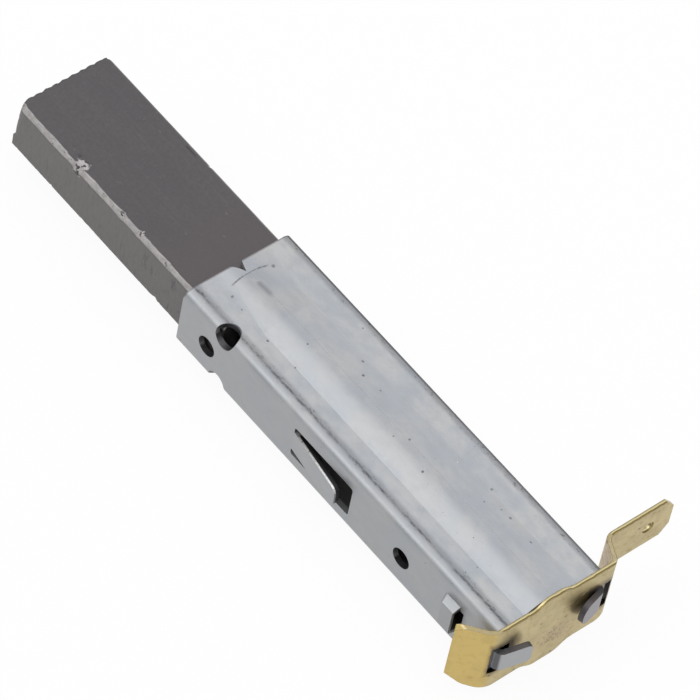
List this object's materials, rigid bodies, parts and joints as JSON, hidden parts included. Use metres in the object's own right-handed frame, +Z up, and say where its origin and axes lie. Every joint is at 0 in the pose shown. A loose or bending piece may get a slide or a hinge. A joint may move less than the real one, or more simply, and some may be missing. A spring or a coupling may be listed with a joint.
{
  "type": "carbon brush",
  "caption": "Rectangular carbon brush sliding in a folded sheet-metal holder with a coil spring, a copper shunt and a brass spade terminal.",
  "frame": {"origin": "on the sleeve's axis at its rear end, where the terminal plate lies against it", "axes": "+X along the sleeve from the terminal plate towards the contact end, +Z up, +Y towards the side with the lanced catch"},
  "size_m": [0.0754, 0.027, 0.0102],
  "materials": {
    "galvanised_steel": "galvanised, satin, with drawing scratches",
    "plate_brass": "satin rolled brass, dulled, with weld pits",
    "carbon": "matt pressed carbon graphite, chipped at the edges",
    "tamped_copper": "matt tamped copper powder",
    "spring_steel": "drawn spring wire",
    "copper_braid": "fine stranded copper"
  },
  "bodies": {
    "holder": {"holder_sleeve": "galvanised_steel", "terminal_plate": "plate_brass", "brush_spring": "spring_steel", "copper_shunt": "copper_braid"},
    "brush": {"carbon_brush": "carbon", "tamped_plug": "tamped_copper"}
  },
  "joints": [
    {"name": "brush_slide", "type": "slide", "parent": "holder", "child": "brush", "axis": [-1, 0, 0], "range_m": [0, 0.0265], "stiffness_N_per_m": 100, "springref_m": -0.005, "deforming": ["brush_spring", "copper_shunt"]}
  ]
}
